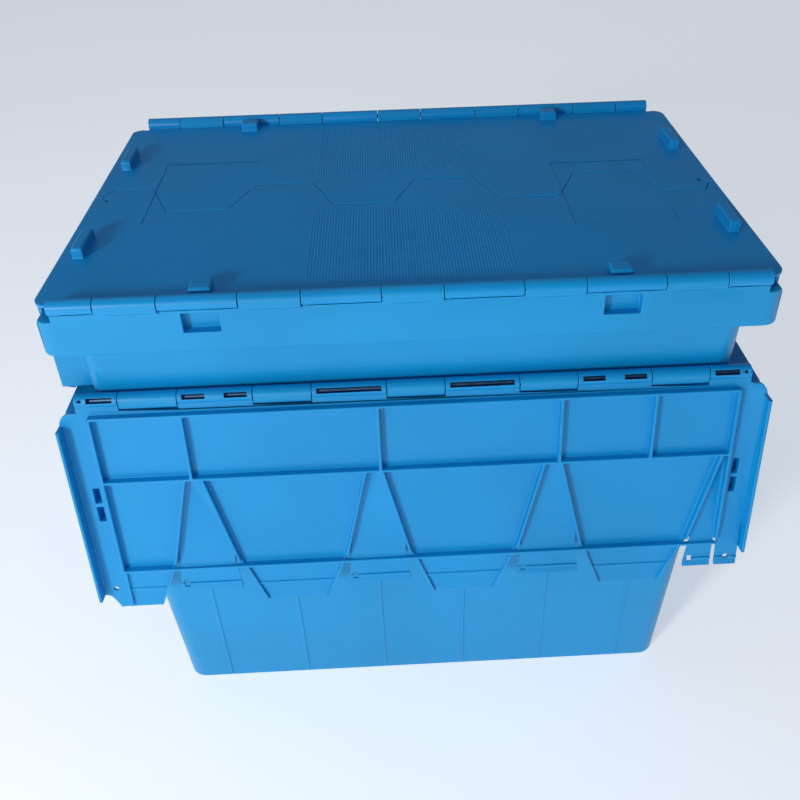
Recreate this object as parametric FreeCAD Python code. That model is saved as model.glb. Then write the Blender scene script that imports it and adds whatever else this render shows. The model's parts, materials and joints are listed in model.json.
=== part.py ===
import FreeCAD, Part
import math
import os

# Two alike attached-lid crates, one nested in the other. Lengths are in millimetres and angles in degrees.
# X runs along the long sides, Y away from the front, Z up. The origin is on the floor under the middle.

# One crate
LENGTH = 600.0  # over the skirt, along X
WIDTH = 400.0  # over the skirt, along Y
LID_HEIGHT = 405.0  # floor to the top face of the closed lid
NEST_PITCH = 91.5  # how far a crate stands above the one that it is nested in
SKIRT_CORNER_RADIUS = 15.0

# Tub walls and floor
WALL = 2.4
FLOOR = 3.0
FOOT = 3.0  # how far the rim of the base stands below the floor panel
FOOT_WIDTH = 12.0
END_TAPER = 0.048  # how far an end wall leans out for each millimetre of height
SIDE_TAPER = 0.043
BODY_CORNER_RADIUS = 18.0
BODY_RIB_PROUD = 1.0
BODY_RIB_TOP = 300.0
BODY_RIB_FADE = 6.0  # height over which a rib runs out into the wall
BODY_RIB_WIDTH = 3.0
BODY_RIB_PITCH = 85.5
BODY_RIBS = 6
FLOOR_RIB_WIDTH = 2.0
FLOOR_RIBS_LONG = 3
FLOOR_RIBS_CROSS = 6

# Rim: a flat ledge that the lid sits on, and a skirt that hangs from it
END_RIM = 20.6  # skirt face to wall face at the ledge, at the ends
SIDE_RIM = 8.6  # the same at the long sides
LEDGE_DEPTH = 10.0  # lid top face to ledge
LEDGE_THICKNESS = 3.0
SKIRT_THICKNESS = 3.0
SKIRT_DROP = 42.0  # lid top face to the bottom of the skirt
GUSSET_THICKNESS = 2.0
GUSSET_LIFT = 6.0  # bottom of the skirt to the bottom of a gusset

# Legs that set the nesting height
LEG_DEPTH = 16.0
LEG_INSET = 1.0  # skirt face to leg face
LEG_WALL = 2.5
CORNER_LEG = (-180.0, -130.0)  # along Y, at the left end
MIDDLE_LEG = (50.0, 90.0)
LEG_NOSE = 20.0  # length of the slope at the front foot of the corner leg
LEG_NOSE_RISE = 16.0
END_GUSSETS = (-65.0, 0.0, 155.0)  # along Y, at the left end

# Hinges
HINGE_SETBACK = 2.0  # skirt face in to the hinge axis
HINGE_RISE = 3.0  # lid top face up to the hinge axis
BARREL_RADIUS = 6.5
ROD_RADIUS = 2.5
ROD_CLEARANCE = 0.08  # radial, between the rod and a lid knuckle
HINGE_END_STEP = 16.0  # end of the crate to the end of the hinge
RIM_KNUCKLE_LENGTH = 49.0
RIM_KNUCKLE_STEPS = 2  # rim knuckles on each side of the middle one
END_KNUCKLE_LENGTH = 36.0
KNUCKLE_GAP = 0.6
SCOOP_CLEARANCE = 0.6  # barrel to the rim under it
KNUCKLE_FACE = 5.2  # hinge axis down to where the flat front of a rim knuckle turns in
KNUCKLE_CHIN = 8.3  # hinge axis down to where a rim knuckle meets the skirt
KNUCKLE_BACK = 7.7  # hinge axis to the back of a rim knuckle
KNUCKLE_BACK_RISE = 1.5  # hinge axis up to the top edge of that back
KNUCKLE_SHOULDER = 43.0  # angle above level at which the back's slope meets the barrel
ROD_END_GAP = 2.0
SLOT_WIDTH = 4.4  # opening along the underside of a lid knuckle
SLOT_END = 4.0  # knuckle end to slot end
SLOT_OUTER_END = 10.0  # the same at the outer end of the last knuckle
DRAIN_HOLE_RADIUS = 1.4
DRAIN_HOLE_INSET = 5.0  # outer end of the last knuckle to its drain hole
SLOT_BRIDGE = 16.0  # solid length in the middle of a knuckle that carries a lug
SLOT_ANGLE = -115.0
HANG_ANGLE = 263.5  # how far an open lid leaf turns before it rests

# Lid leaf
PLATE = 3.0
PLATE_TO_AXIS = 8.6  # hinge axis to the edge of the plate between the knuckles
PLATE_CORNER_RADIUS = 12.0
FINGER_LENGTH = 52.0  # root to tip
FINGER_TIP_WIDTH = 57.0
FINGERS_PER_HALF = 4
END_FINGER_INSET = 25.6  # end of the lid to the middle of the last finger
FINGER_CORNER_RADIUS = 4.0
END_JOG = 15.0  # end of the lid to where the seam reaches its outermost finger line
END_JOG_FLAT = 7.0
END_JOG_DEPTH = 15.0
END_JOG_RADIUS = 3.0
SEAM_GAP = 1.0
FLANGE_THICKNESS = 3.0
FLANGE_DROP = 15.0
FLANGE_START = 20.0  # hinge axis to the start of the end flange
FLANGE_GAP = 0.5
FLANGE_SEAM_GAP = 2.0
RIB_WIDTH = 2.4
RIB_DEPTH = 6.7
END_RIB_X = 26.5  # end of the lid to the middle of the end rib
HINGE_RIB_OFFSET = 12.0  # hinge axis to the middle of the rib along it
MIDDLE_RIB_OFFSET = 77.0
ROOT_RIB_OFFSET = 4.5  # finger root out to the middle of the rib along the roots
FINGER_SPLAY = 22.0  # how far a slanting rib spreads from the finger root to the middle rib
STRAIGHT_RIBS = (-197.0, -33.0, 123.0, 203.0)
TIP_RIB_OFFSET = 21.8  # finger tip to the middle of the shallow rib near it
TIP_RIB_DEPTH = 1.0
EDGE_RIB_DEPTH = 2.8
TONGUE_REACH = 32.0  # finger root to the end of the support tongue
TONGUE_GAP = 1.4  # finger underside to the tongue below it
TONGUE_THICKNESS = 1.8
TONGUE_ROOT_SLOPE = 14.0  # length over which the plate thickens towards the tongue
TONGUE_FLAT = 26.0
TONGUE_LIP_DROP = 1.5
TONGUE_INSET = 3.5
TONGUE_FLARE = 4.0  # how much further out each side of the tongue is at its end
TONGUE_RIB = 24.0  # finger root to the middle of the shallow rib under the tongue
TONGUE_RIB_DEPTH = 1.2
TONGUE_HOLE = (4.5, 7.0)  # size of the small hole at the left end of that rib
TONGUE_SLOT_CLEARANCE = 0.8  # on each side of the other leaf's end rib
SEAL_HOLE_RADIUS = 2.5
SEAL_HOLE_X = 14.0  # end of the lid to the seal hole
SEAL_HOLE_Y = 3.0
PATCH_WIDTH = 94.0
PATCH_X = 196.0
PATCH_NEAR = 52.0
PATCH_FAR = 86.0
PATCH_DEPTH = 0.6

# Lugs on the lid, which locate the crate stacked on it
LUG_HEIGHT = 10.0
END_LUG_INSET = 12.2
END_LUG_THICKNESS = 10.0
END_LUG_NEAR = 74.0
END_LUG_FAR = 114.0
LUG_WALL = 2.2
LUG_CHAMFER = 1.5
HINGE_LUG_HEIGHT = 9.0
HINGE_LUG_WIDTH = 18.0
HINGE_LUG_START = 10.0  # hinge axis to the lug
HINGE_LUG_LENGTH = 16.0
LUG_CLEARANCE = 1.3
RECESS_SIDE_CLEARANCE = 6.0
RECESS_WALL = 2.4

OVERLAP = 0.5  # how far fused shapes run into each other
BEYOND = 1.0  # how far a cutting shape runs past a face

HALF_LENGTH = LENGTH / 2
HALF_WIDTH = WIDTH / 2
LEDGE_Z = LID_HEIGHT - LEDGE_DEPTH
SKIRT_Z = LID_HEIGHT - SKIRT_DROP
LEG_Z = LEDGE_Z - NEST_PITCH
FLOOR_TOP = FOOT + FLOOR
AXIS_Y = HALF_WIDTH - HINGE_SETBACK
AXIS_Z = LID_HEIGHT + HINGE_RISE
HINGE_HALF = HALF_LENGTH - HINGE_END_STEP
KNUCKLE_PITCH = (HINGE_HALF - END_KNUCKLE_LENGTH - RIM_KNUCKLE_LENGTH / 2) / RIM_KNUCKLE_STEPS
LUG_KNUCKLE_X = 1.5 * KNUCKLE_PITCH
FINGER_SPACING = (HALF_LENGTH - END_FINGER_INSET) / (FINGERS_PER_HALF - 0.5)
ROOT_Y = -FINGER_LENGTH / 2
TIP_Y = FINGER_LENGTH / 2
PLATE_BOTTOM = LID_HEIGHT - PLATE
PLATE_EDGE_Y = -(AXIS_Y - PLATE_TO_AXIS)
FLANGE_IN = HALF_LENGTH - FLANGE_THICKNESS
FINGER_SLANT = (FINGER_SPACING - FINGER_TIP_WIDTH) / FINGER_LENGTH
ROOT_RIB_Y = ROOT_Y + ROOT_RIB_OFFSET
TONGUE_TOP = PLATE_BOTTOM - TONGUE_GAP
TONGUE_LOW = TONGUE_TOP - TONGUE_THICKNESS
END_RIB_HALF = HALF_LENGTH - END_RIB_X  # middle of the crate to the end rib


def box(x_range, y_range, z_range):
    """Box between two values along each axis."""
    corner = FreeCAD.Vector(min(x_range), min(y_range), min(z_range))
    sizes = [max(r) - min(r) for r in (x_range, y_range, z_range)]
    return Part.makeBox(*sizes, corner)


def prism_along_x(points, x_range):
    """Solid with a YZ outline, run along X."""
    outline = [FreeCAD.Vector(min(x_range), y, z) for y, z in points]
    face = Part.Face(Part.makePolygon(outline + outline[:1]))
    return face.extrude(FreeCAD.Vector(max(x_range) - min(x_range), 0, 0))


def rounded_wire(corners, z):
    """Closed outline at height z through (x, y, radius) corners, each rounded by its radius."""
    edges = []
    ends = []
    count = len(corners)
    for i, (x, y, radius) in enumerate(corners):
        corner = FreeCAD.Vector(x, y, z)
        before = FreeCAD.Vector(corners[i - 1][0], corners[i - 1][1], z) - corner
        after = FreeCAD.Vector(corners[(i + 1) % count][0], corners[(i + 1) % count][1], z) - corner
        before.normalize()
        after.normalize()
        if radius == 0:
            ends.append((corner, corner))
            continue
        half_angle = before.getAngle(after) / 2
        reach = radius / math.tan(half_angle)
        start = corner + before * reach
        end = corner + after * reach
        bisector = before + after
        bisector.normalize()
        middle = corner + bisector * (radius / math.sin(half_angle) - radius)
        edges.append(Part.Arc(start, middle, end).toShape())
        ends.append((start, end))
    for i in range(count):
        start = ends[i - 1][1]
        end = ends[i][0]
        if start.distanceToPoint(end) > 1e-6:
            edges.append(Part.makeLine(start, end))
    return Part.Wire(Part.__sortEdges__(edges))


def rectangle_wire(half_x, half_y, radius, z):
    """Rounded rectangle about the Z axis."""
    signs = ((-1, -1), (1, -1), (1, 1), (-1, 1))
    return rounded_wire([(sx * half_x, sy * half_y, radius) for sx, sy in signs], z)


def rounded_block(half_x, half_y, radius, z_range):
    """Upright block with a rounded rectangle for its plan."""
    wire = rectangle_wire(half_x, half_y, radius, min(z_range))
    return Part.Face(wire).extrude(FreeCAD.Vector(0, 0, max(z_range) - min(z_range)))


def along_x(radius, x_range, y, z):
    """Round bar along X."""
    start = FreeCAD.Vector(min(x_range), y, z)
    return Part.makeCylinder(radius, max(x_range) - min(x_range), start, FreeCAD.Vector(1, 0, 0))


def half_turn(shape):
    """The same shape on the other side of the crate."""
    copy = shape.copy()
    copy.rotate(FreeCAD.Vector(0, 0, 0), FreeCAD.Vector(0, 0, 1), 180)
    return copy


def with_half_turns(shapes):
    """Shapes together with their copies on the other side."""
    return shapes + [half_turn(shape) for shape in shapes]


def one_solid(shape, name):
    """The single solid that a build has to end in."""
    clean = shape.removeSplitter()
    if len(clean.Solids) != 1 or not clean.isValid():
        raise ValueError(f"{name} is not one valid solid: {len(clean.Solids)} solids")
    return clean.Solids[0]


def wall_half_length(z):
    return HALF_LENGTH - END_RIM - END_TAPER * (LEDGE_Z - z)


def wall_half_width(z):
    return HALF_WIDTH - SIDE_RIM - SIDE_TAPER * (LEDGE_Z - z)


def tapered_block(inset, radius, z_range):
    """Block that follows the leaning walls, a given distance inside their outer faces."""
    wires = [
        rectangle_wire(wall_half_length(z) - inset, wall_half_width(z) - inset, radius, z) for z in z_range
    ]
    return Part.makeLoft(wires, True, True)


def lid_knuckle_spans():
    """X spans of the lid's knuckles: between the rim's, and one at each end."""
    half_rim = RIM_KNUCKLE_LENGTH / 2
    spans = []
    for step in range(-RIM_KNUCKLE_STEPS, RIM_KNUCKLE_STEPS):
        spans.append((step * KNUCKLE_PITCH + half_rim, (step + 1) * KNUCKLE_PITCH - half_rim))
    last = RIM_KNUCKLE_STEPS * KNUCKLE_PITCH + half_rim
    return [(-HINGE_HALF, -last)] + spans + [(last, HINGE_HALF)]


def rim_knuckle_spans():
    half_rim = RIM_KNUCKLE_LENGTH / 2
    steps = range(-RIM_KNUCKLE_STEPS, RIM_KNUCKLE_STEPS + 1)
    return [(step * KNUCKLE_PITCH - half_rim, step * KNUCKLE_PITCH + half_rim) for step in steps]


def shortened(span):
    """A knuckle's span less its share of the gap at each end."""
    return (span[0] + KNUCKLE_GAP / 2, span[1] - KNUCKLE_GAP / 2)


def rim_block():
    """Ledge and hollow skirt, still filled across the mouth. Its ends are stepped in for the flanges."""
    block = rounded_block(HALF_LENGTH, HALF_WIDTH, SKIRT_CORNER_RADIUS, (SKIRT_Z, LEDGE_Z))
    step_z = LID_HEIGHT - FLANGE_DROP - FLANGE_GAP
    step_x = FLANGE_IN - FLANGE_GAP
    inner_radius = SKIRT_CORNER_RADIUS - SKIRT_THICKNESS
    lower_top = step_z - SKIRT_THICKNESS
    lower_hollow = rounded_block(
        HALF_LENGTH - SKIRT_THICKNESS,
        HALF_WIDTH - SKIRT_THICKNESS,
        inner_radius,
        (SKIRT_Z - BEYOND, lower_top),
    )
    upper_hollow = rounded_block(
        step_x - SKIRT_THICKNESS,
        HALF_WIDTH - SKIRT_THICKNESS,
        inner_radius,
        (lower_top - BEYOND, LEDGE_Z - LEDGE_THICKNESS),
    )
    step = box((step_x, HALF_LENGTH + BEYOND), (-HALF_WIDTH, HALF_WIDTH), (step_z, LEDGE_Z + BEYOND))
    return block.cut([lower_hollow, upper_hollow] + with_half_turns([step]))


def rim_knuckles():
    """Squared knuckles on the front of the rim, and the low strip between them."""
    low = LEDGE_Z - LEDGE_THICKNESS
    shoulder = math.radians(KNUCKLE_SHOULDER)
    outline = [
        (-BARREL_RADIUS, 0),
        (-BARREL_RADIUS, -KNUCKLE_FACE),
        (-HINGE_SETBACK, -KNUCKLE_CHIN),
        (-HINGE_SETBACK, low - AXIS_Z),
        (KNUCKLE_BACK, low - AXIS_Z),
        (KNUCKLE_BACK, KNUCKLE_BACK_RISE),
        (BARREL_RADIUS * math.cos(shoulder), BARREL_RADIUS * math.sin(shoulder)),
        (0, 0),
    ]
    points = [(-AXIS_Y + y, AXIS_Z + z) for y, z in outline]
    shapes = []
    for span in rim_knuckle_spans():
        shapes.append(prism_along_x(points, shortened(span)))
        shapes.append(along_x(BARREL_RADIUS, shortened(span), -AXIS_Y, AXIS_Z))
    strip_y = (-HALF_WIDTH, -AXIS_Y + HINGE_SETBACK)
    shapes.append(box((-HINGE_HALF, HINGE_HALF), strip_y, (low, AXIS_Z - BARREL_RADIUS)))
    return shapes


def hinge_scoops():
    """Room under each lid knuckle."""
    radius = BARREL_RADIUS + SCOOP_CLEARANCE
    return [along_x(radius, span, -AXIS_Y, AXIS_Z) for span in lid_knuckle_spans()]


def lug_sweep_depth():
    """How far below the hinge axis a hinge lug's far corner reaches as the leaf swings."""
    top = HINGE_LUG_HEIGHT - HINGE_RISE
    return math.hypot(HINGE_LUG_START + HINGE_LUG_LENGTH, top)


def hanging_lug_y():
    """How near to the middle of the crate a hinge lug's face comes when its leaf hangs."""
    angle = math.radians(HANG_ANGLE)
    top = HINGE_LUG_HEIGHT - HINGE_RISE
    return AXIS_Y - HINGE_LUG_START * math.cos(angle) + top * math.sin(angle)


def lug_recess(x):
    """Cup that takes a hinge lug when the leaf hangs: the cup's solid and the room in it."""
    half = HINGE_LUG_WIDTH / 2 + RECESS_SIDE_CLEARANCE
    back = hanging_lug_y() - LUG_CLEARANCE
    top = AXIS_Z - HINGE_LUG_START + LUG_CLEARANCE / 2
    bottom = AXIS_Z - lug_sweep_depth() - LUG_CLEARANCE / 2
    cup = box(
        (x - half - RECESS_WALL, x + half + RECESS_WALL),
        (-back + RECESS_WALL, -HALF_WIDTH + OVERLAP),
        (bottom - RECESS_WALL, top + RECESS_WALL / 2),
    )
    room = box((x - half, x + half), (-back, -HALF_WIDTH - BEYOND), (bottom, top))
    return cup, room


def body_rib_positions():
    first = -(BODY_RIBS - 1) / 2
    return [(first + i) * BODY_RIB_PITCH for i in range(BODY_RIBS)]


def side_rib(x):
    """Upright rib on the front wall that leans with it."""
    low = FOOT
    high = BODY_RIB_TOP + BODY_RIB_FADE
    points = [
        (-wall_half_width(low) + OVERLAP, low),
        (-wall_half_width(low) - BODY_RIB_PROUD, low),
        (-wall_half_width(BODY_RIB_TOP) - BODY_RIB_PROUD, BODY_RIB_TOP),
        (-wall_half_width(high), high),
        (-wall_half_width(high) + OVERLAP, high),
    ]
    return prism_along_x(points, (x - BODY_RIB_WIDTH / 2, x + BODY_RIB_WIDTH / 2))


def side_gusset(x):
    """Plate between the front wall and the skirt, hidden inside the skirt."""
    low = SKIRT_Z + GUSSET_LIFT
    y_range = (-wall_half_width(low) + OVERLAP, -HALF_WIDTH + SKIRT_THICKNESS / 2)
    x_range = (x - GUSSET_THICKNESS / 2, x + GUSSET_THICKNESS / 2)
    return box(x_range, y_range, (low, LEDGE_Z - OVERLAP))


def end_gusset(y):
    """The same at the left end."""
    low = SKIRT_Z + GUSSET_LIFT
    x_range = (-wall_half_length(low) + OVERLAP, -HALF_LENGTH + SKIRT_THICKNESS / 2)
    y_range = (y - GUSSET_THICKNESS / 2, y + GUSSET_THICKNESS / 2)
    high = LID_HEIGHT - FLANGE_DROP - SKIRT_THICKNESS
    return box(x_range, y_range, (low, high)).fuse(
        box((x_range[0], -FLANGE_IN + SKIRT_THICKNESS), y_range, (low, LEDGE_Z - OVERLAP))
    )


def leg(y_range, nose):
    """Hollow leg under the left end of the skirt, open below. A nose slopes its front foot."""
    top = LID_HEIGHT - FLANGE_DROP - FLANGE_GAP - OVERLAP
    outer_x = (-HALF_LENGTH + LEG_INSET, -HALF_LENGTH + LEG_INSET + LEG_DEPTH)
    front, rear = min(y_range), max(y_range)

    def outline(inset, drop):
        points = [(front + inset, top), (front + inset, LEG_Z - drop + nose[1]), (rear - inset, LEG_Z - drop)]
        if nose[0]:
            points.insert(2, (front + inset + nose[0], LEG_Z - drop))
        return points + [(rear - inset, top)]

    shell = prism_along_x(outline(0, 0), outer_x)
    room_x = (outer_x[0] + LEG_WALL, outer_x[1] - LEG_WALL)
    room = prism_along_x(outline(LEG_WALL, LEG_WALL), room_x)
    ceiling = box(room_x, (front, rear), (SKIRT_Z + GUSSET_LIFT, LEDGE_Z))
    return shell.cut(room.cut(ceiling))


def leg_web():
    """Upright web from the front of the corner leg to the body's end wall, above the leg's nose."""
    front = min(CORNER_LEG)
    low = LEG_Z + LEG_NOSE_RISE
    leg_x = -HALF_LENGTH + LEG_INSET + LEG_DEPTH - OVERLAP
    body_x = -wall_half_length(low) + BODY_CORNER_RADIUS / 2
    return box((leg_x, body_x), (front, front + LEG_WALL), (low, SKIRT_Z + OVERLAP))


def floor_ribs():
    """Low ribs under the floor panel, level with the foot."""
    half_x = wall_half_length(0) - FOOT_WIDTH
    half_y = wall_half_width(0) - FOOT_WIDTH
    shapes = []
    for i in range(FLOOR_RIBS_LONG):
        y = (i + 1) * 2 * half_y / (FLOOR_RIBS_LONG + 1) - half_y
        y_range = (y - FLOOR_RIB_WIDTH / 2, y + FLOOR_RIB_WIDTH / 2)
        shapes.append(box((-half_x - OVERLAP, half_x + OVERLAP), y_range, (0, FOOT + OVERLAP)))
    for i in range(FLOOR_RIBS_CROSS):
        x = (i + 1) * 2 * half_x / (FLOOR_RIBS_CROSS + 1) - half_x
        x_range = (x - FLOOR_RIB_WIDTH / 2, x + FLOOR_RIB_WIDTH / 2)
        shapes.append(box(x_range, (-half_y - OVERLAP, half_y + OVERLAP), (0, FOOT + OVERLAP)))
    return shapes


def make_tub():
    """The whole tub moulding of one crate, standing on the floor."""
    body = tapered_block(0, BODY_CORNER_RADIUS, (0, LEDGE_Z))
    additions = rim_knuckles()
    additions += [side_rib(x) for x in body_rib_positions()]
    additions += [side_gusset(x) for x in body_rib_positions()]
    additions += [end_gusset(y) for y in END_GUSSETS]
    additions += [leg(CORNER_LEG, (LEG_NOSE, LEG_NOSE_RISE)), leg(MIDDLE_LEG, (0, 0)), leg_web()]
    body = body.multiFuse([rim_block()] + with_half_turns(additions))

    mouth = tapered_block(WALL, BODY_CORNER_RADIUS - WALL, (FLOOR_TOP, LEDGE_Z + BEYOND))
    under = rounded_block(
        wall_half_length(0) - FOOT_WIDTH,
        wall_half_width(0) - FOOT_WIDTH,
        BODY_CORNER_RADIUS / 2,
        (-BEYOND, FOOT),
    )
    body = body.cut([mouth, under]).multiFuse(floor_ribs())

    recesses = [lug_recess(x) for x in (-LUG_KNUCKLE_X, LUG_KNUCKLE_X)]
    body = body.multiFuse(with_half_turns([cup for cup, room in recesses]))
    cutters = hinge_scoops() + [room for cup, room in recesses]
    cutters.append(along_x(ROD_RADIUS, (-HINGE_HALF, HINGE_HALF), -AXIS_Y, AXIS_Z))
    return one_solid(body.cut(with_half_turns(cutters)), "tub")


def finger_centres():
    """Middle of each finger along the seam, with True for this leaf's own fingers."""
    steps = range(-FINGERS_PER_HALF, FINGERS_PER_HALF)
    return [((step + 0.5) * FINGER_SPACING, step % 2 == 0) for step in steps]


def seam_corners():
    """Corners of the front leaf's free edge, from left to right."""
    half_tip = FINGER_TIP_WIDTH / 2
    radius = FINGER_CORNER_RADIUS
    corners = [
        (-HALF_LENGTH, TIP_Y - END_JOG_DEPTH, 0),
        (-HALF_LENGTH + END_JOG_FLAT, TIP_Y - END_JOG_DEPTH, END_JOG_RADIUS),
        (-HALF_LENGTH + END_JOG, TIP_Y, END_JOG_RADIUS),
    ]
    centres = finger_centres()
    for i, (x, own) in enumerate(centres):
        y = TIP_Y if own else ROOT_Y
        if i > 0:
            corners.append((x - half_tip, y, radius))
        if i < len(centres) - 1:
            corners.append((x + half_tip, y, radius))
    corners.append((HALF_LENGTH - END_JOG, ROOT_Y, END_JOG_RADIUS))
    corners.append((HALF_LENGTH - END_JOG_FLAT, ROOT_Y + END_JOG_DEPTH, END_JOG_RADIUS))
    corners.append((HALF_LENGTH, ROOT_Y + END_JOG_DEPTH, 0))
    return [(x, y - SEAM_GAP / 2, r) for x, y, r in corners]


def leaf_plate():
    """Flat top plate, up to the hinge on one side and the fingers on the other."""
    hinge_side = [
        (HALF_LENGTH, PLATE_EDGE_Y, PLATE_CORNER_RADIUS),
        (-HALF_LENGTH, PLATE_EDGE_Y, PLATE_CORNER_RADIUS),
    ]
    wire = rounded_wire(seam_corners() + hinge_side, PLATE_BOTTOM)
    return Part.Face(wire).extrude(FreeCAD.Vector(0, 0, PLATE))


def rib(start, end, depth, top=OVERLAP):
    """Straight rib under the plate between two plan points, down to a depth below the plate's underside."""
    along = FreeCAD.Vector(end[0] - start[0], end[1] - start[1], 0)
    shape = box((0, along.Length), (-RIB_WIDTH / 2, RIB_WIDTH / 2), (-depth, top))
    shape.rotate(FreeCAD.Vector(0, 0, 0), FreeCAD.Vector(0, 0, 1), math.degrees(math.atan2(along.y, along.x)))
    shape.translate(FreeCAD.Vector(start[0], start[1], PLATE_BOTTOM))
    return shape


def finger_edge_x(centre, side, y):
    """Middle of the rib along a finger's slanting edge, at a place along Y."""
    inset = RIB_WIDTH / 2 / math.cos(math.atan(FINGER_SLANT)) + SEAM_GAP / 2 * FINGER_SLANT
    return centre + side * (FINGER_TIP_WIDTH / 2 + FINGER_SLANT * (TIP_Y - y) - inset)


def frame_ribs():
    """Ribs along the hinge, across the middle, along the finger roots and at the ends."""
    hinge_y = -AXIS_Y + HINGE_RIB_OFFSET
    middle_y = -AXIS_Y + MIDDLE_RIB_OFFSET
    root_y = ROOT_Y - SEAM_GAP / 2
    tip_y = TIP_Y - SEAM_GAP / 2 - RIB_WIDTH
    shapes = [rib((-END_RIB_HALF, y), (END_RIB_HALF, y), RIB_DEPTH) for y in (hinge_y, middle_y)]
    shapes.append(rib((-END_RIB_HALF, hinge_y), (-END_RIB_HALF, ROOT_RIB_Y), RIB_DEPTH))
    shapes.append(rib((-END_RIB_HALF, ROOT_RIB_Y), (-END_RIB_HALF, tip_y), EDGE_RIB_DEPTH))
    shapes.append(rib((END_RIB_HALF, hinge_y), (END_RIB_HALF, root_y), RIB_DEPTH))
    shapes += [rib((x, hinge_y), (x, middle_y), RIB_DEPTH) for x in STRAIGHT_RIBS]
    return shapes


def root_ribs():
    """Rib along the finger roots. It keeps below the other leaf's fingers where it crosses under them."""
    below_tongue = TONGUE_LOW - PLATE_BOTTOM + OVERLAP / 2
    ends = ((-END_RIB_HALF, ROOT_RIB_Y), (END_RIB_HALF, ROOT_RIB_Y))
    shapes = [rib(*ends, RIB_DEPTH, below_tongue)]
    for x, own in finger_centres():
        if own:
            left = max(finger_edge_x(x, -1, ROOT_RIB_Y), -END_RIB_HALF)
            right = finger_edge_x(x, 1, ROOT_RIB_Y)
            shapes.append(rib((left, ROOT_RIB_Y), (right, ROOT_RIB_Y), RIB_DEPTH))
    return shapes


def finger_ribs():
    """Slanting ribs that spread from each finger back to the middle rib, and the ribs on the finger."""
    middle_y = -AXIS_Y + MIDDLE_RIB_OFFSET
    tip_y = TIP_Y - SEAM_GAP / 2 - RIB_WIDTH
    across_y = TIP_Y - TIP_RIB_OFFSET
    start_y = ROOT_Y - SEAM_GAP / 2 - RIB_WIDTH / 2
    shapes = []
    for x, own in finger_centres():
        if not own:
            continue
        for side in (-1, 1):
            tip_x = finger_edge_x(x, side, tip_y)
            if abs(tip_x) > END_RIB_HALF:
                continue
            edge_x = finger_edge_x(x, side, start_y)
            shapes.append(rib((edge_x, start_y), (tip_x, tip_y), EDGE_RIB_DEPTH))
            shapes.append(rib((edge_x + side * FINGER_SPLAY, middle_y), (edge_x, start_y), RIB_DEPTH))
        left = max(finger_edge_x(x, -1, across_y), -END_RIB_HALF)
        shapes.append(rib((left, across_y), (finger_edge_x(x, 1, across_y), across_y), TIP_RIB_DEPTH))
    return shapes


def tongue_section():
    """YZ outline of a support tongue, which hangs from the plate and dips at its lip."""
    root = ROOT_Y - SEAM_GAP / 2
    flat_end = ROOT_Y + TONGUE_FLAT
    end = ROOT_Y + TONGUE_REACH
    rib_y = ROOT_Y + TONGUE_RIB
    rib_low = TONGUE_LOW - TONGUE_RIB_DEPTH
    return [
        (root - TONGUE_ROOT_SLOPE, PLATE_BOTTOM + OVERLAP),
        (root - OVERLAP / 2, PLATE_BOTTOM + OVERLAP),
        (root - OVERLAP / 2, TONGUE_TOP),
        (flat_end, TONGUE_TOP),
        (end, TONGUE_TOP - TONGUE_LIP_DROP),
        (end, TONGUE_LOW - TONGUE_LIP_DROP),
        (flat_end, TONGUE_LOW),
        (rib_y + RIB_WIDTH / 2, TONGUE_LOW),
        (rib_y + RIB_WIDTH / 2, rib_low),
        (rib_y - RIB_WIDTH / 2, rib_low),
        (rib_y - RIB_WIDTH / 2, TONGUE_LOW),
        (root, TONGUE_LOW),
        (root - TONGUE_ROOT_SLOPE, PLATE_BOTTOM),
    ]


def support_tongues():
    """Tongues under the other leaf's fingers. Their dipped lips let the two leaves part."""
    start = ROOT_Y - TONGUE_ROOT_SLOPE - SEAM_GAP
    end = ROOT_Y + TONGUE_REACH
    near = FINGER_TIP_WIDTH / 2 - TONGUE_INSET
    far = near + TONGUE_FLARE
    limit = FLANGE_IN - FLANGE_GAP
    low = TONGUE_LOW - TONGUE_RIB_DEPTH - TONGUE_LIP_DROP
    height = LID_HEIGHT - low
    hole_y = ROOT_Y + TONGUE_RIB
    shapes = []
    for x, own in finger_centres():
        if own:
            continue
        left = [(x - far, end), (x - near, ROOT_Y), (x - near, start)]
        right = [(x + near, start), (x + near, ROOT_Y), (x + far, end)]
        outline = [FreeCAD.Vector(px, py, low) for px, py in left + right]
        plan = Part.Face(Part.makePolygon(outline + outline[:1])).extrude(FreeCAD.Vector(0, 0, height))
        tongue = prism_along_x(tongue_section(), (x - far, min(x + far, limit))).common(plan)
        hole_x = x - near
        tongue = tongue.cut(
            box(
                (hole_x, hole_x + TONGUE_HOLE[0]),
                (hole_y - TONGUE_HOLE[1] / 2, hole_y + TONGUE_HOLE[1] / 2),
                (low, LID_HEIGHT),
            )
        )
        if x + near > END_RIB_HALF:
            half_slot = RIB_WIDTH / 2 + TONGUE_SLOT_CLEARANCE
            slot_x = (END_RIB_HALF - half_slot, END_RIB_HALF + half_slot)
            tongue = tongue.cut(box(slot_x, (ROOT_Y, end + BEYOND), (low - BEYOND, LID_HEIGHT)))
        shapes.append(tongue)
    return shapes


def end_flanges():
    """Downturned edges that cover the stepped ends of the skirt."""
    start = -AXIS_Y + FLANGE_START
    low = LID_HEIGHT - FLANGE_DROP
    left_end = TIP_Y - END_JOG_DEPTH - FLANGE_SEAM_GAP
    right_end = ROOT_Y + END_JOG_DEPTH - FLANGE_SEAM_GAP
    z_range = (low, PLATE_BOTTOM + OVERLAP)
    left = box((-HALF_LENGTH, -FLANGE_IN), (start, left_end), z_range)
    right = box((FLANGE_IN, HALF_LENGTH), (start, right_end), z_range)
    return [left, right]


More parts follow.
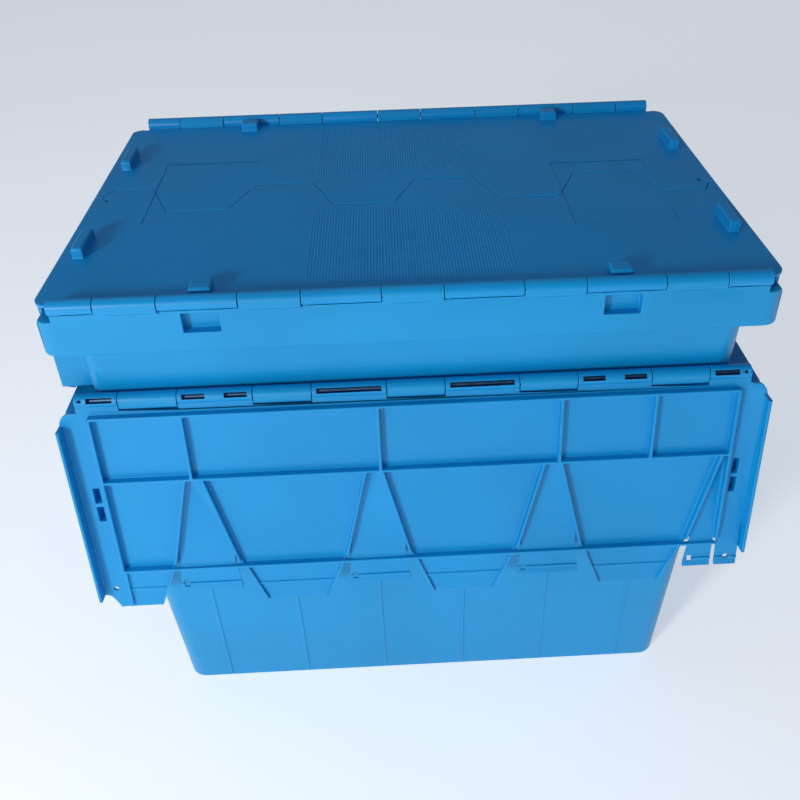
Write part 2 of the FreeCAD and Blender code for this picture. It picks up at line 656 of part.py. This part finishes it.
def lug(x_range, y_range, height):
    """Lug on the lid's top face with its upper edges cut back."""
    z_range = (LID_HEIGHT - OVERLAP, LID_HEIGHT + height)
    shape = box(x_range, y_range, z_range)
    upper = [edge for edge in shape.Edges if all(abs(v.Z - z_range[1]) < 1e-6 for v in edge.Vertexes)]
    return shape.makeChamfer(LUG_CHAMFER, upper)


def end_lugs():
    """Lugs at the two ends of the leaf, with two pockets under each."""
    y_range = (-END_LUG_FAR, -END_LUG_NEAR)
    outer = HALF_LENGTH - END_LUG_INSET
    inner = outer - END_LUG_THICKNESS
    middle = sum(y_range) / 2
    lugs = []
    pockets = []
    for side in (-1, 1):
        lugs.append(lug((side * inner, side * outer), y_range, LUG_HEIGHT))
        x_range = (side * (inner + LUG_WALL), side * (outer - LUG_WALL))
        z_range = (PLATE_BOTTOM - BEYOND, LID_HEIGHT + LUG_HEIGHT - LUG_WALL)
        pockets.append(box(x_range, (y_range[0] + LUG_WALL, middle - LUG_WALL), z_range))
        pockets.append(box(x_range, (middle + LUG_WALL, y_range[1] - LUG_WALL), z_range))
    return lugs, pockets


def hinge_lugs():
    """Lugs beside the hinge."""
    start = -AXIS_Y + HINGE_LUG_START
    y_range = (start, start + HINGE_LUG_LENGTH)
    half = HINGE_LUG_WIDTH / 2
    return [lug((x - half, x + half), y_range, HINGE_LUG_HEIGHT) for x in (-LUG_KNUCKLE_X, LUG_KNUCKLE_X)]


def lid_knuckles():
    """Barrels of the leaf with the plate run out to them, and the cutters for their slots."""
    barrels = []
    slots = []
    for span in lid_knuckle_spans():
        low, high = shortened(span)
        low_end = SLOT_OUTER_END if span[0] == -HINGE_HALF else SLOT_END
        high_end = SLOT_OUTER_END if span[1] == HINGE_HALF else SLOT_END
        barrels.append(along_x(BARREL_RADIUS, (low, high), -AXIS_Y, AXIS_Z))
        web_y = (-AXIS_Y + BARREL_RADIUS / 2, PLATE_EDGE_Y + OVERLAP)
        barrels.append(box((low, high), web_y, (PLATE_BOTTOM, LID_HEIGHT)))
        middle = (low + high) / 2
        if abs(abs(middle) - LUG_KNUCKLE_X) < SLOT_BRIDGE / 2:
            pieces = [(low + low_end, middle - SLOT_BRIDGE / 2), (middle + SLOT_BRIDGE / 2, high - high_end)]
        else:
            pieces = [(low + low_end, high - high_end)]
        slots += [box(piece, (0, BARREL_RADIUS * 2), (-SLOT_WIDTH / 2, SLOT_WIDTH / 2)) for piece in pieces]
    along_y = FreeCAD.Vector(0, 1, 0)
    for x in (-HINGE_HALF + DRAIN_HOLE_INSET, HINGE_HALF - DRAIN_HOLE_INSET):
        start = FreeCAD.Vector(x, 0, 0)
        slots.append(Part.makeCylinder(DRAIN_HOLE_RADIUS, BARREL_RADIUS * 2, start, along_y))
    for cutter in slots:
        cutter.rotate(FreeCAD.Vector(0, 0, 0), FreeCAD.Vector(1, 0, 0), SLOT_ANGLE)
        cutter.translate(FreeCAD.Vector(0, -AXIS_Y, AXIS_Z))
    return barrels, slots


def label_patches():
    """Shallow smooth patches across the seam, one nearer the front and one nearer the rear."""
    half = PATCH_WIDTH / 2
    z_range = (LID_HEIGHT - PATCH_DEPTH, LID_HEIGHT + BEYOND)
    left = box((-PATCH_X - half, -PATCH_X + half), (-PATCH_NEAR, PATCH_FAR), z_range)
    right = box((PATCH_X - half, PATCH_X + half), (-PATCH_FAR, PATCH_NEAR), z_range)
    return [left, right]


def seal_holes():
    """Holes for a seal through a finger of one leaf and a tongue of the other."""
    x = HALF_LENGTH - SEAL_HOLE_X
    low = LID_HEIGHT - LEDGE_DEPTH - BEYOND
    up = FreeCAD.Vector(0, 0, 1)
    places = [FreeCAD.Vector(-x, SEAL_HOLE_Y, low), FreeCAD.Vector(x, -SEAL_HOLE_Y, low)]
    return [Part.makeCylinder(SEAL_HOLE_RADIUS, 2 * LEDGE_DEPTH, place, up) for place in places]


def make_leaf():
    """The front leaf of a crate's lid, closed."""
    barrels, slots = lid_knuckles()
    lugs, pockets = end_lugs()
    additions = barrels + frame_ribs() + root_ribs() + finger_ribs() + support_tongues()
    additions += end_flanges() + lugs + hinge_lugs()
    body = leaf_plate().multiFuse(additions)
    bore = along_x(ROD_RADIUS + ROD_CLEARANCE, (-HALF_LENGTH, HALF_LENGTH), -AXIS_Y, AXIS_Z)
    cutters = slots + pockets + label_patches() + seal_holes() + [bore]
    return one_solid(body.cut(cutters), "leaf")


def make_rod():
    """Steel hinge rod of the front hinge."""
    half = HINGE_HALF - ROD_END_GAP
    return along_x(ROD_RADIUS, (-half, half), -AXIS_Y, AXIS_Z)


def turned_open(leaf):
    """The front leaf swung out until it hangs."""
    copy = leaf.copy()
    copy.rotate(FreeCAD.Vector(0, -AXIS_Y, AXIS_Z), FreeCAD.Vector(1, 0, 0), HANG_ANGLE)
    return copy


def lifted(shape):
    """A shape of the upper crate, raised by the nesting height."""
    copy = shape.copy()
    copy.translate(FreeCAD.Vector(0, 0, NEST_PITCH))
    return copy


def make_nodes():
    """Every sub-part by name, in its place."""
    tub = make_tub()
    leaf = make_leaf()
    rod = make_rod()
    nodes = {
        "lower_tub": tub,
        "lower_front_leaf": turned_open(leaf),
        "lower_rear_leaf": half_turn(turned_open(leaf)),
        "lower_front_hinge_rod": rod,
        "lower_rear_hinge_rod": half_turn(rod),
    }
    upper = {
        "upper_tub": tub,
        "upper_front_leaf": leaf,
        "upper_rear_leaf": half_turn(leaf),
        "upper_front_hinge_rod": rod,
        "upper_rear_hinge_rod": half_turn(rod),
    }
    nodes.update({name: lifted(shape) for name, shape in upper.items()})
    return nodes


os.makedirs("parts", exist_ok=True)
for node_name, node_shape in make_nodes().items():
    node_shape.exportStep(os.path.join("parts", node_name + ".step"))
    print(node_name, "volume", round(node_shape.Volume / 1000, 1), "cm3")
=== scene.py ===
"""Looks for a nested pair of attached-lid crates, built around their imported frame."""

import json
import math

import bmesh
import bpy
from bpy.props import FloatProperty, FloatVectorProperty, IntProperty, PointerProperty
from mathutils import Matrix, Vector
from mathutils.bvhtree import BVHTree


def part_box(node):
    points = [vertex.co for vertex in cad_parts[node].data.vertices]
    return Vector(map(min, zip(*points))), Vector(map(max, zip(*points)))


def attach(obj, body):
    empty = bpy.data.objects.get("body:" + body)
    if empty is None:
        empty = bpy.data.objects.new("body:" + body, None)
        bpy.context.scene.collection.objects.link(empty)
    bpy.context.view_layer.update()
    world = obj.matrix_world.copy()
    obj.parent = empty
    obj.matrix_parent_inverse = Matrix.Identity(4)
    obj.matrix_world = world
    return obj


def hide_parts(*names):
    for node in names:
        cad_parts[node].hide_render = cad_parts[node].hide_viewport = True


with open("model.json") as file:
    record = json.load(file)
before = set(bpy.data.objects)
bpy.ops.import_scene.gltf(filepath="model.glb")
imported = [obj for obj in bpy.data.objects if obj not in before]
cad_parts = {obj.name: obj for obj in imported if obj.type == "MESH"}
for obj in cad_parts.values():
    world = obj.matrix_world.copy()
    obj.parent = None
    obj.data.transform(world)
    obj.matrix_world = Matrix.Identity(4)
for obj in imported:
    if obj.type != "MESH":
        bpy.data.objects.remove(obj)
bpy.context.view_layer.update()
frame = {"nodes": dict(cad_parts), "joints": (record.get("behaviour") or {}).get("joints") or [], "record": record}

bl_info = {
    "name": "Attached-lid crates",
    "version": (1, 0, 0),
    "blender": (4, 5, 0),
    "location": "3D Viewport > Sidebar > Crates",
    "description": "Builds the moulded tubs, lid leaves, hinge rods and stage of two nested crates",
    "category": "Object",
}

JOINTS = {joint["name"]: joint for joint in frame["joints"]}
HINGE = Vector(JOINTS["lower_front_leaf_hinge"]["pos_m"])
NEST_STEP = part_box("upper_tub")[0].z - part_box("lower_tub")[0].z
BODIES = frame["record"]["behaviour"]["bodies"]
BODY_OF_NODE = {node: body for body, nodes in BODIES.items() for node in nodes}

# Rounding of the moulded edges
CREASE_ANGLE = math.radians(33)  # edges sharper than this are rounded
WELD_DISTANCE = 2e-6
ROOM_TO_ROUND = 2.3  # shortest edge or narrowest face that is rounded, over the radius
EDGE_SHARES = (1.0, 0.6, 0.35)  # of the full radius, on edges with less room
STRAY_REACH = 0.75  # farthest that a rounded edge leaves the sharp one, over the radius
LEVEL_WEIGHT = 80  # above 50, large faces set the shading beside a rounded edge

# Grip panels
RIB_SIDES = 8  # facets round a fine rib

# Plastic
BROAD_PATTERN = 7.0  # noise scales, per metre
SCUFF_PATTERN = 11.0
SMEAR_PATTERN = 16.0
WORN_PATTERN = 90.0
GRAIN_PATTERN = 1500.0
SCRATCH_STRETCH = (14.0, 160.0, 60.0)
SCRATCH_TURN = 0.5  # about Z, so that scratches run aslant
GRAIN_DEPTH = 0.00012
EDGE_WEAR_REACH = 0.0012  # how far from an edge the plastic has rubbed
TUB_FINISH = (0.33, 0.20)  # roughness, and strength of the grain
LID_FINISH = (0.34, 0.24)
PLASTIC_IOR = 1.49
PLASTIC_SPECULAR = 0.36

# Steel
DRAWN_STRETCH = (6.0, 900.0, 900.0)  # fine lines along the rod
DRAWN_DEPTH = 0.0001
# scale of the random darker spots on the dark blue rods
ROD_SPOT_PATTERN = 120.0

# Stage
FLOOR_HALF = 9.0
FLOOR_GLOW = 0.45
FLOOR_PATTERN = 2.0
WORLD_COLOUR = (0.62, 0.78, 1.0, 1.0)
WORLD_STRENGTH = 0.24
LIGHT_AIM = (0.0, 0.0, 0.3)
# Each light's name, place, disk size, power and colour
LIGHTS = (
    ("key_front_left", (-1.15, -1.6, 0.95), 0.35, 19, (1.0, 1.0, 1.0)),
    ("fill_front", (-0.7, -3.6, 0.75), 1.6, 14, (1.0, 1.0, 1.0)),
    ("soft_top", (-0.4, 0.3, 2.4), 2.0, 5.0, (0.55, 0.72, 1.0)),
)
CAMERA_PLACE = Vector((-0.01467, -0.80065, 0.85836))
CAMERA_YAW = 0.029
CAMERA_PITCH = 0.611
CAMERA_ROLL = -0.028
CAMERA_LENS = 40.25  # millimetres
CAMERA_SHIFT = (-0.0229, -0.0519)
SENSOR_WIDTH = 36.0
CLIP_START = 0.01


class CrateSizes(bpy.types.PropertyGroup):
    """Sizes that a maker would change."""

    hinge_rise: FloatProperty(
        name="Hinge rise", description="Lid face up to the hinge axis", default=0.003, unit="LENGTH"
    )
    hang_angle: FloatProperty(
        name="Hang angle",
        description="How far an open leaf has turned",
        default=math.radians(263.5),
        subtype="ANGLE",
    )
    tub_edge_radius: FloatProperty(
        name="Tub edge radius", description="Rounding of the tub's edges", default=0.0009, unit="LENGTH"
    )
    leaf_edge_radius: FloatProperty(
        name="Leaf edge radius",
        description="Rounding of the lid leaves' edges",
        default=0.0011,
        unit="LENGTH",
    )
    rod_radius: FloatProperty(
        name="Rod end radius", description="Rounding of the rod ends", default=0.0006, unit="LENGTH"
    )
    edge_steps: IntProperty(name="Edge steps", description="Facets across a rounded edge", default=2, min=1)
    grip_half_width: FloatProperty(
        name="Grip half width",
        description="Half of the ribbed panel, along the hinge",
        default=0.086,
        unit="LENGTH",
    )
    grip_near: FloatProperty(
        name="Grip near edge",
        description="Middle of the lid to the ribbed panel",
        default=0.040,
        unit="LENGTH",
    )
    grip_far: FloatProperty(
        name="Grip far edge", description="Middle of the lid to its far edge", default=0.172, unit="LENGTH"
    )
    grip_pitch: FloatProperty(
        name="Grip pitch", description="Spacing of the fine ribs", default=0.0026, unit="LENGTH"
    )
    grip_radius: FloatProperty(
        name="Grip rib radius", description="Half the width of a fine rib", default=0.0007, unit="LENGTH"
    )
    grip_height: FloatProperty(
        name="Grip rib height", description="How far a fine rib stands up", default=0.00035, unit="LENGTH"
    )


class CrateColours(bpy.types.PropertyGroup):
    """Colours that a maker would change."""

    tub: FloatVectorProperty(
        name="Tub", description="Tub plastic", default=(0.003, 0.290, 0.62), size=3, subtype="COLOR"
    )
    lid: FloatVectorProperty(
        name="Lid", description="Lid plastic", default=(0.003, 0.285, 0.635), size=3, subtype="COLOR"
    )
    worn: FloatVectorProperty(
        name="Worn edge",
        description="Plastic where it has rubbed",
        default=(0.03, 0.42, 0.80),
        size=3,
        subtype="COLOR",
    )
    # dark blue colour of the rods, darker than bare steel
    steel: FloatVectorProperty(
        name="Rod", description="Dark blue rod colour", default=(0.08, 0.15, 0.26), size=3, subtype="COLOR"
    )
    floor: FloatVectorProperty(
        name="Floor", description="Pale floor", default=(0.93, 0.93, 0.93), size=3, subtype="COLOR"
    )


def sizes():
    return bpy.context.scene.crate_sizes


def colours():
    return bpy.context.scene.crate_colours


# Materials


class Shader:
    """A node tree that is built from left to right."""

    def __init__(self, name):
        self.material = bpy.data.materials.new(name)
        self.material.use_nodes = True
        self.tree = self.material.node_tree
        self.surface = next(node for node in self.tree.nodes if node.type == "BSDF_PRINCIPLED")

    def node(self, kind, inputs=(), **settings):
        made = self.tree.nodes.new(kind)
        for key, value in settings.items():
            setattr(made, key, value)
        for key, value in dict(inputs).items():
            self.put(made.inputs[key], value)
        return made

    def put(self, socket, value):
        if isinstance(value, bpy.types.NodeSocket):
            self.tree.links.new(value, socket)
        else:
            socket.default_value = value

    def noise(self, vector, scale, detail=3.0, roughness=0.5):
        inputs = {"Vector": vector, "Scale": scale, "Detail": detail, "Roughness": roughness}
        return self.node("ShaderNodeTexNoise", inputs).outputs["Fac"]

    def remap(self, value, low, high, to_low, to_high):
        inputs = {"Value": value, "From Min": low, "From Max": high, "To Min": to_low, "To Max": to_high}
        return self.node("ShaderNodeMapRange", inputs).outputs["Result"]

    def math(self, operation, first, second):
        return self.node("ShaderNodeMath", {0: first, 1: second}, operation=operation).outputs["Value"]

    def bump(self, height, strength, distance):
        made = self.node("ShaderNodeBump", {"Height": height, "Strength": strength, "Distance": distance})
        self.put(self.surface.inputs["Normal"], made.outputs["Normal"])

    def mix(self, factor, first, second):
        made = self.node("ShaderNodeMix", data_type="RGBA")
        colour_inputs = [socket for socket in made.inputs if socket.type == "RGBA"]
        self.put(made.inputs["Factor"], factor)
        self.put(colour_inputs[0], first)
        self.put(colour_inputs[1], second)
        return next(socket for socket in made.outputs if socket.type == "RGBA")


def rgba(colour, gain=1.0):
    """A colour with full alpha, made lighter or darker."""
    return (*[channel * gain for channel in colour], 1.0)


def moulded_plastic(name, colour, roughness, grain):
    """Injection-moulded polypropylene: fine grain, slight tone drift, scuffs and rubbed edges."""
    shader = Shader(name)
    place = shader.node("ShaderNodeTexCoord").outputs["Object"]

    drift = shader.noise(place, BROAD_PATTERN, 2.0)
    tone = shader.mix(shader.remap(drift, 0.3, 0.7, 0.0, 1.0), rgba(colour, 0.93), rgba(colour, 1.06))
    scuffs = plastic_scuffs(shader, place)
    rubbed = plastic_edge_wear(shader, place)

    scuffed = shader.mix(shader.math("MULTIPLY", scuffs, 0.35), tone, rgba(colours().worn))
    shader.put(shader.surface.inputs["Base Color"], shader.mix(rubbed, scuffed, rgba(colours().worn)))

    grains = shader.noise(place, GRAIN_PATTERN, 2.0)
    smear = shader.noise(place, SMEAR_PATTERN, 3.0)
    gloss = shader.remap(smear, 0.3, 0.7, roughness - 0.05, roughness + 0.06)
    dulled = shader.math("ADD", gloss, shader.math("MULTIPLY", scuffs, 0.12))
    shader.put(shader.surface.inputs["Roughness"], dulled)
    height = shader.math("SUBTRACT", grains, shader.math("MULTIPLY", scuffs, 0.8))
    shader.bump(height, grain, GRAIN_DEPTH)
    shader.surface.inputs["Specular IOR Level"].default_value = PLASTIC_SPECULAR
    shader.surface.inputs["IOR"].default_value = PLASTIC_IOR
    return shader.material


def plastic_scuffs(shader, place):
    """Aslant scratches, gathered in patches, as a value from 0 to 1."""
    settings = {"Vector": place, "Rotation": (0.0, 0.0, SCRATCH_TURN), "Scale": SCRATCH_STRETCH}
    stretched = shader.node("ShaderNodeMapping", settings).outputs["Vector"]
    scratches = shader.remap(shader.noise(stretched, 1.0, 4.0, 0.6), 0.66, 0.74, 0.0, 1.0)
    patches = shader.remap(shader.noise(place, SCUFF_PATTERN, 3.0), 0.5, 0.68, 0.0, 1.0)
    return shader.math("MULTIPLY", scratches, patches)


def plastic_edge_wear(shader, place):
    """Broken wear along the edges, as a value from 0 to 1."""
    rounded = shader.node("ShaderNodeBevel", {"Radius": EDGE_WEAR_REACH}, samples=4).outputs["Normal"]
    flat = shader.node("ShaderNodeNewGeometry").outputs["Normal"]
    compare = shader.node("ShaderNodeVectorMath", {0: rounded, 1: flat}, operation="DOT_PRODUCT")
    edge = shader.remap(compare.outputs["Value"], 0.99, 0.86, 0.0, 1.0)
    broken = shader.remap(shader.noise(place, WORN_PATTERN, 3.0), 0.42, 0.62, 0.15, 0.75)
    return shader.math("MULTIPLY", edge, broken)


def dark_blue_steel(name):
    """Dark blue metal, darker than bare steel, with fine drawing lines along the rod."""
    shader = Shader(name)
    place = shader.node("ShaderNodeTexCoord").outputs["Object"]
    along = shader.node("ShaderNodeMapping", {"Vector": place, "Scale": DRAWN_STRETCH}).outputs["Vector"]
    lines = shader.noise(along, 1.0, 3.0)
    spots = shader.noise(place, ROD_SPOT_PATTERN, 3.0)
    steel = colours().steel
    tone = shader.mix(shader.remap(spots, 0.35, 0.7, 0.0, 1.0), rgba(steel), rgba(steel, 0.6))
    shader.put(shader.surface.inputs["Base Color"], tone)
    shader.put(shader.surface.inputs["Roughness"], shader.remap(lines, 0.3, 0.7, 0.35, 0.5))
    shader.bump(lines, 0.2, DRAWN_DEPTH)
    shader.surface.inputs["Metallic"].default_value = 1.0
    return shader.material


def pale_floor(name):
    """Matt, nearly even floor with a weak glow of its own."""
    shader = Shader(name)
    place = shader.node("ShaderNodeTexCoord").outputs["Object"]
    drift = shader.noise(place, FLOOR_PATTERN, 2.0)
    floor = colours().floor
    tone = shader.mix(shader.remap(drift, 0.3, 0.7, 0.0, 1.0), rgba(floor, 0.99), rgba(floor, 1.01))
    shader.put(shader.surface.inputs["Base Color"], tone)
    shader.surface.inputs["Roughness"].default_value = 0.85
    shader.surface.inputs["Emission Color"].default_value = rgba((1.0, 1.0, 1.0))
    shader.surface.inputs["Emission Strength"].default_value = FLOOR_GLOW
    return shader.material


def material_named(name, make, *details):
    """A material that is made the first time it is asked for."""
    return bpy.data.materials.get(name) or make(name, *details)


def tub_plastic():
    return material_named("tub_plastic", moulded_plastic, colours().tub, *TUB_FINISH)


def lid_plastic():
    return material_named("lid_plastic", moulded_plastic, colours().lid, *LID_FINISH)


# Meshes


def finished(piece):
    """Turns what the modifiers give into a plain mesh and drops them."""
    bpy.context.view_layer.update()
    evaluated = piece.evaluated_get(bpy.context.evaluated_depsgraph_get())
    mesh = bpy.data.meshes.new_from_object(evaluated)
    piece.modifiers.clear()
    piece.data = mesh
    mesh.name = piece.name
    return piece


def new_piece(name, mesh):
    piece = bpy.data.objects.new(name, mesh)
    bpy.context.scene.collection.objects.link(piece)
    return piece


def merged_copy(node, name, radius):
    """One joined mesh with the shape of a node, its long sharp edges marked for rounding."""
    grid = bmesh.new()
    grid.from_mesh(frame["nodes"][node].data)
    bmesh.ops.remove_doubles(grid, verts=grid.verts, dist=WELD_DISTANCE)
    weight = grid.edges.layers.float.new("bevel_weight_edge")
    for edge in grid.edges:
        sharp = edge.is_manifold and edge.calc_face_angle(0.0) > CREASE_ANGLE
        shares = [share for share in EDGE_SHARES if sharp and roomy(edge, share * radius)]
        edge[weight] = max(shares, default=0.0)
    for face in grid.faces:
        face.smooth = True
    mesh = bpy.data.meshes.new(name)
    grid.to_mesh(mesh)
    grid.free()
    return mesh


def roomy(edge, radius):
    """Whether an edge and the faces beside it leave room for its rounding."""
    room = ROOM_TO_ROUND * radius
    length = edge.calc_length()
    return length > room and all(2 * face.calc_area() / length > room for face in edge.link_faces)


def moulded(node, name, material, radius):
    """A node's shape with softened edges, standing for that node."""
    mesh = merged_copy(node, name, radius)
    mesh.materials.clear()
    mesh.materials.append(material)
    piece = new_piece(name, mesh)
    soften = piece.modifiers.new("soften", "BEVEL")
    soften.limit_method = "WEIGHT"
    soften.width = radius
    soften.segments = sizes().edge_steps
    soften.use_clamp_overlap = False
    level = piece.modifiers.new("level", "WEIGHTED_NORMAL")
    level.weight = LEVEL_WEIGHT
    finished(piece)
    tuck_strays(piece, node, radius * STRAY_REACH)
    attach(piece, BODY_OF_NODE[node])
    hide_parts(node)
    return piece


def tuck_strays(piece, node, reach):
    """Brings points that the rounding threw off the node's surface back onto it."""
    source = frame["nodes"][node].data
    points = [vertex.co for vertex in source.vertices]
    surface = BVHTree.FromPolygons(points, [face.vertices[:] for face in source.polygons])
    for vertex in piece.data.vertices:
        place, _, _, distance = surface.find_nearest(vertex.co)
        if distance > reach:
            vertex.co = place


def leaf_places():
    """Where a closed front leaf of the lower crate goes for each of the four leaves."""
    half_turn = Matrix.Rotation(math.pi, 4, "Z")
    raised = Matrix.Translation((0, 0, NEST_STEP))
    at_hinge = Matrix.Translation(HINGE)
    hung = at_hinge @ Matrix.Rotation(sizes().hang_angle, 4, "X") @ at_hinge.inverted()
    return {
        "upper_front_leaf": raised,
        "upper_rear_leaf": raised @ half_turn,
        "lower_front_leaf": hung,
        "lower_rear_leaf": half_turn @ hung,
    }


def grip_tree():
    """Geometry Nodes tree for a panel of fine parallel ribs, each a low round bar."""
    tree = bpy.data.node_groups.new("grip_panel", "GeometryNodeTree")
    tree.interface.new_socket("Geometry", in_out="OUTPUT", socket_type="NodeSocketGeometry")
    for name in ("Length", "Spacing", "Rib radius", "Rib height"):
        tree.interface.new_socket(name, in_out="INPUT", socket_type="NodeSocketFloat")
    tree.interface.new_socket("Count", in_out="INPUT", socket_type="NodeSocketInt")
    tree.interface.new_socket("Material", in_out="INPUT", socket_type="NodeSocketMaterial")

    def node(kind, **settings):
        made = tree.nodes.new(kind)
        for key, value in settings.items():
            setattr(made, key, value)
        return made

    def link(source, target):
        tree.links.new(source, target)

    given = node("NodeGroupInput").outputs
    bar = node("GeometryNodeMeshCylinder", fill_type="NGON")
    bar.inputs["Vertices"].default_value = RIB_SIDES
    bar.inputs["Radius"].default_value = 1.0
    bar.inputs["Depth"].default_value = 1.0
    lay_down = node("GeometryNodeTransform")
    lay_down.inputs["Rotation"].default_value = (math.pi / 2, 0, 0)
    shape = node("GeometryNodeTransform")
    stretch = node("ShaderNodeCombineXYZ")
    row = node("GeometryNodeMeshLine")
    offset = node("ShaderNodeCombineXYZ")
    instances = node("GeometryNodeInstanceOnPoints")
    realize = node("GeometryNodeRealizeInstances")
    finish = node("GeometryNodeSetMaterial")
    link(bar.outputs["Mesh"], lay_down.inputs["Geometry"])
    link(given["Rib radius"], stretch.inputs["X"])
    link(given["Length"], stretch.inputs["Y"])
    link(given["Rib height"], stretch.inputs["Z"])
    link(lay_down.outputs["Geometry"], shape.inputs["Geometry"])
    link(stretch.outputs["Vector"], shape.inputs["Scale"])
    link(given["Spacing"], offset.inputs["X"])
    link(given["Count"], row.inputs["Count"])
    link(offset.outputs["Vector"], row.inputs["Offset"])
    link(row.outputs["Mesh"], instances.inputs["Points"])
    link(shape.outputs["Geometry"], instances.inputs["Instance"])
    link(instances.outputs["Instances"], realize.inputs["Geometry"])
    link(realize.outputs["Geometry"], finish.inputs["Geometry"])
    link(given["Material"], finish.inputs["Material"])
    link(finish.outputs["Geometry"], node("NodeGroupOutput").inputs["Geometry"])
    return tree


def set_inputs(modifier, values):
    """Sets a node modifier's inputs by the identifiers of their sockets."""
    for socket in modifier.node_group.interface.items_tree:
        if socket.in_out == "INPUT" and socket.name in values:
            modifier[socket.identifier] = values[socket.name]


# Operators


class CRATE_OT_tubs(bpy.types.Operator):
    """Builds the two tubs with softened edges."""

    bl_idname = "crate.tubs"
    bl_label = "Tubs"

    def execute(self, context):
        for level in ("lower", "upper"):
            tub = moulded(f"{level}_tub", f"{level}_tub_moulding", tub_plastic(), sizes().tub_edge_radius)
        return {"FINISHED"}


class CRATE_OT_leaves(bpy.types.Operator):
    """Builds the four lid leaves with softened edges."""

    bl_idname = "crate.leaves"
    bl_label = "Lid leaves"

    def execute(self, context):
        for node in leaf_places():
            leaf = moulded(node, f"{node}_moulding", lid_plastic(), sizes().leaf_edge_radius)
        return {"FINISHED"}


class CRATE_OT_grips(bpy.types.Operator):
    """Lays the panel of fine ribs on the top face of each lid leaf."""

    bl_idname = "crate.grips"
    bl_label = "Grip panels"

    def execute(self, context):
        s = sizes()
        tree = grip_tree()
        count = int(2 * s.grip_half_width / s.grip_pitch) + 1
        lid_face = HINGE.z - s.hinge_rise
        middle = -(s.grip_near + s.grip_far) / 2
        first = -(count - 1) * s.grip_pitch / 2
        on_lid = Matrix.Translation((first, middle, lid_face))
        for node, place in leaf_places().items():
            name = f"{node}_grip_ribs"
            panel = new_piece(name, bpy.data.meshes.new(name))
            ribs = panel.modifiers.new("ribs", "NODES")
            ribs.node_group = tree
            values = {
                "Length": s.grip_far - s.grip_near,
                "Spacing": s.grip_pitch,
                "Rib radius": s.grip_radius,
                "Rib height": s.grip_height,
                "Count": count,
                "Material": lid_plastic(),
            }
            set_inputs(ribs, values)
            finished(panel)
            panel.data.transform(place @ on_lid)
            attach(panel, BODY_OF_NODE[node])
        return {"FINISHED"}


class CRATE_OT_rods(bpy.types.Operator):
    """Builds the four steel hinge rods."""

    bl_idname = "crate.rods"
    bl_label = "Hinge rods"

    def execute(self, context):
        steel = material_named("zinc_plated_steel", dark_blue_steel)
        for level in ("lower", "upper"):
            for side in ("front", "rear"):
                node = f"{level}_{side}_hinge_rod"
                rod = moulded(node, f"{node}_turned", steel, sizes().rod_radius)
        return {"FINISHED"}


class CRATE_OT_stage(bpy.types.Operator):
    """Sets the floor, the soft lights and the camera."""

    bl_idname = "crate.stage"
    bl_label = "Stage"

    def execute(self, context):
        add_floor()
        add_world()
        for light in LIGHTS:
            add_light(*light)
        add_camera()
        return {"FINISHED"}


def add_floor():
    mesh = bpy.data.meshes.new("floor")
    h = FLOOR_HALF
    mesh.from_pydata([(-h, -h, 0), (h, -h, 0), (h, h, 0), (-h, h, 0)], [], [(0, 1, 2, 3)])
    mesh.materials.append(material_named("pale_floor", pale_floor))
    new_piece("floor", mesh)


def add_world():
    world = bpy.data.worlds.new("studio")
    world.use_nodes = True
    background = world.node_tree.nodes["Background"]
    background.inputs["Color"].default_value = WORLD_COLOUR
    background.inputs["Strength"].default_value = WORLD_STRENGTH
    bpy.context.scene.world = world
    bpy.context.scene.view_settings.view_transform = "Standard"


def add_light(name, place, size, power, colour):
    lamp = bpy.data.lights.new(name, "AREA")
    lamp.shape = "DISK"
    lamp.size = size
    lamp.energy = power
    lamp.color = colour
    light = bpy.data.objects.new(name, lamp)
    light.location = place
    light.rotation_euler = (Vector(LIGHT_AIM) - Vector(place)).to_track_quat("-Z", "Y").to_euler()
    bpy.context.scene.collection.objects.link(light)


def add_camera():
    yaw, pitch, roll = CAMERA_YAW, CAMERA_PITCH, CAMERA_ROLL
    level = math.cos(pitch)
    forward = Vector((math.sin(yaw) * level, math.cos(yaw) * level, -math.sin(pitch)))
    right = Vector((math.cos(yaw), -math.sin(yaw), 0))
    up = right.cross(forward)
    tilted_right = right * math.cos(roll) + up * math.sin(roll)
    tilted_up = up * math.cos(roll) - right * math.sin(roll)
    data = bpy.data.cameras.new("camera")
    data.sensor_width = SENSOR_WIDTH
    data.lens = CAMERA_LENS
    data.shift_x, data.shift_y = CAMERA_SHIFT
    data.clip_start = CLIP_START
    camera = bpy.data.objects.new("camera", data)
    axes = Matrix((tilted_right, tilted_up, -forward)).transposed().to_4x4()
    camera.matrix_world = Matrix.Translation(CAMERA_PLACE) @ axes
    bpy.context.scene.collection.objects.link(camera)
    bpy.context.scene.camera = camera


class CRATE_PT_panel(bpy.types.Panel):
    """Lists the steps of the build."""

    bl_idname = "CRATE_PT_panel"
    bl_label = "Crates"
    bl_space_type = "VIEW_3D"
    bl_region_type = "UI"
    bl_category = "Crates"

    def draw(self, context):
        for step in STEPS:
            self.layout.operator(step.bl_idname)
        for group in (context.scene.crate_sizes, context.scene.crate_colours):
            for name in group.__annotations__:
                self.layout.prop(group, name)


STEPS = (CRATE_OT_tubs, CRATE_OT_leaves, CRATE_OT_grips, CRATE_OT_rods, CRATE_OT_stage)
CLASSES = (CrateSizes, CrateColours, *STEPS, CRATE_PT_panel)


def register():
    for cls in CLASSES:
        bpy.utils.register_class(cls)
    bpy.types.Scene.crate_sizes = PointerProperty(type=CrateSizes)
    bpy.types.Scene.crate_colours = PointerProperty(type=CrateColours)


def unregister():
    del bpy.types.Scene.crate_colours
    del bpy.types.Scene.crate_sizes
    for cls in reversed(CLASSES):
        bpy.utils.unregister_class(cls)


def main():
    register()
    bpy.ops.crate.tubs()
    bpy.ops.crate.leaves()
    bpy.ops.crate.grips()
    bpy.ops.crate.rods()
    bpy.ops.crate.stage()


if __name__ == "__main__":
    main()
